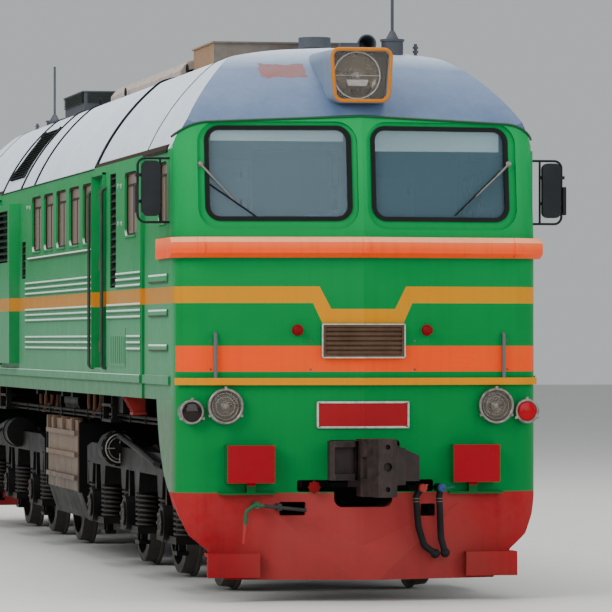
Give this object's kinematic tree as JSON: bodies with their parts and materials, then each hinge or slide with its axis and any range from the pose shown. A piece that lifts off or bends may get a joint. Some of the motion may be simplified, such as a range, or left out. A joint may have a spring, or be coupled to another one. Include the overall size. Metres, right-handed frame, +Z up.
{
  "type": "diesel locomotive",
  "caption": "Broad-gauge six-axle diesel locomotive with a driving cab at each end, two swivelling bogies, swinging couplers and hinged entrance doors.",
  "frame": {"origin": "on the ground line under the middle of the body, level with the lowest point of the wheel flanges", "axes": "+X across the track to the locomotive's right-hand side seen from behind the front nose, +Y along the track from the front nose to the rear nose, +Z up"},
  "size_m": [3.514, 17.55, 5.1329],
  "materials": {
    "green_paint": "gloss paint",
    "grey_roof_paint": "satin paint",
    "red_paint": "weathered paint",
    "orange_paint": "gloss paint",
    "yellow_paint": "gloss paint",
    "dark_grey_paint": "satin paint",
    "hatch_paint": "worn, rusty paint",
    "black_frame": "oily, dusty paint",
    "motor_iron": "oily cast iron",
    "coupler_iron": "rusty cast steel",
    "wheel_steel": "rolled steel, browned",
    "grille_metal": "rusty steel",
    "lamp_metal": "dulled chrome",
    "handrail_metal": "worn paint on steel",
    "glass": "clear glass",
    "rubber": "weathered rubber",
    "mirror_black": "textured plastic",
    "cab_lining": "satin paint",
    "seat_fabric": "woven cloth",
    "louvre_dark": "dusty paint"
  },
  "bodies": {
    "body": {"nose_front": "green_paint", "nose_rear": "green_paint", "side_left": "green_paint", "side_right": "green_paint", "cooler_boxes": "green_paint", "cab_roofs": "grey_roof_paint", "engine_roof": "grey_roof_paint", "cooler_roof": "grey_roof_paint", "fan_housing": "dark_grey_paint", "fan_drive": "dark_grey_paint", "roof_fittings": "dark_grey_paint", "roof_hatch": "hatch_paint", "pilot_front": "red_paint", "pilot_rear": "red_paint", "visors": "orange_paint", "nose_ledges": "yellow_paint", "headlamps": "grey_roof_paint", "nose_boxes": "red_paint", "nose_grilles": "grille_metal", "nose_lamps": "lamp_metal", "windscreens": "glass", "side_windows": "glass", "windscreen_gaskets": "rubber", "side_louvres": "louvre_dark", "roof_louvres": "louvre_dark", "handrails": "handrail_metal", "mirrors": "mirror_black", "air_hoses": "rubber", "underframe": "black_frame", "fuel_tank": "black_frame", "tank_hatches": "black_frame", "air_reservoirs": "black_frame", "door_steps": "black_frame", "jack_brackets": "red_paint", "motor_cables": "rubber", "engine_block": "motor_iron", "cab_bulkheads": "cab_lining", "cab_desks": "cab_lining", "cab_seats": "seat_fabric"},
    "fan": {"fan_rotor": "dark_grey_paint"},
    "coupler_front": {"coupler_front": "coupler_iron"},
    "coupler_rear": {"coupler_rear": "coupler_iron"},
    "door_front_left": {"door_front_left": "green_paint"},
    "door_front_right": {"door_front_right": "green_paint"},
    "door_rear_left": {"door_rear_left": "green_paint"},
    "door_rear_right": {"door_rear_right": "green_paint"},
    "bogie_front": {"bogie_front_frame": "black_frame", "bogie_front_axle_boxes": "black_frame", "bogie_front_motors": "motor_iron", "bogie_front_brakes": "black_frame"},
    "bogie_rear": {"bogie_rear_frame": "black_frame", "bogie_rear_axle_boxes": "black_frame", "bogie_rear_motors": "motor_iron", "bogie_rear_brakes": "black_frame"},
    "wheelset_1": {"wheelset_1": "wheel_steel"},
    "wheelset_2": {"wheelset_2": "wheel_steel"},
    "wheelset_3": {"wheelset_3": "wheel_steel"},
    "wheelset_4": {"wheelset_4": "wheel_steel"},
    "wheelset_5": {"wheelset_5": "wheel_steel"},
    "wheelset_6": {"wheelset_6": "wheel_steel"}
  },
  "joints": [
    {"name": "bogie_front_pivot", "type": "hinge", "parent": "body", "child": "bogie_front", "pos_m": [0, -4.3, 1.1], "axis": [0, 0, 1], "range_deg": [-3.5, 3.5]},
    {"name": "bogie_rear_pivot", "type": "hinge", "parent": "body", "child": "bogie_rear", "pos_m": [0, 4.3, 1.1], "axis": [0, 0, 1], "range_deg": [-3.5, 3.5]},
    {"name": "wheelset_1_spin", "type": "hinge", "parent": "bogie_front", "child": "wheelset_1", "pos_m": [0, -6.4, 0.553], "axis": [1, 0, 0], "continuous": true},
    {"name": "wheelset_2_spin", "type": "hinge", "parent": "bogie_front", "child": "wheelset_2", "pos_m": [0, -4.3, 0.553], "axis": [1, 0, 0], "continuous": true},
    {"name": "wheelset_3_spin", "type": "hinge", "parent": "bogie_front", "child": "wheelset_3", "pos_m": [0, -2.2, 0.553], "axis": [1, 0, 0], "continuous": true},
    {"name": "wheelset_4_spin", "type": "hinge", "parent": "bogie_rear", "child": "wheelset_4", "pos_m": [0, 2.2, 0.553], "axis": [1, 0, 0], "continuous": true},
    {"name": "wheelset_5_spin", "type": "hinge", "parent": "bogie_rear", "child": "wheelset_5", "pos_m": [0, 4.3, 0.553], "axis": [1, 0, 0], "continuous": true},
    {"name": "wheelset_6_spin", "type": "hinge", "parent": "bogie_rear", "child": "wheelset_6", "pos_m": [0, 6.4, 0.553], "axis": [1, 0, 0], "continuous": true},
    {"name": "coupler_front_swing", "type": "hinge", "parent": "body", "child": "coupler_front", "pos_m": [0, -7.5, 1.073], "axis": [0, 0, 1], "range_deg": [-5, 5]},
    {"name": "coupler_rear_swing", "type": "hinge", "parent": "body", "child": "coupler_rear", "pos_m": [0, 7.5, 1.073], "axis": [0, 0, 1], "range_deg": [-5, 5]},
    {"name": "door_front_left_hinge", "type": "hinge", "parent": "body", "child": "door_front_left", "pos_m": [-1.403, -3.539, 2.6], "axis": [0, 0, 1], "range_deg": [0, 90]},
    {"name": "door_front_right_hinge", "type": "hinge", "parent": "body", "child": "door_front_right", "pos_m": [1.403, -3.539, 2.6], "axis": [0, 0, -1], "range_deg": [0, 90]},
    {"name": "door_rear_left_hinge", "type": "hinge", "parent": "body", "child": "door_rear_left", "pos_m": [-1.403, 3.539, 2.6], "axis": [0, 0, -1], "range_deg": [0, 90]},
    {"name": "door_rear_right_hinge", "type": "hinge", "parent": "body", "child": "door_rear_right", "pos_m": [1.403, 3.539, 2.6], "axis": [0, 0, 1], "range_deg": [0, 90]},
    {"name": "fan_spin", "type": "hinge", "parent": "body", "child": "fan", "pos_m": [0, 2.74, 4.328], "axis": [0, 0, 1], "continuous": true}
  ]
}
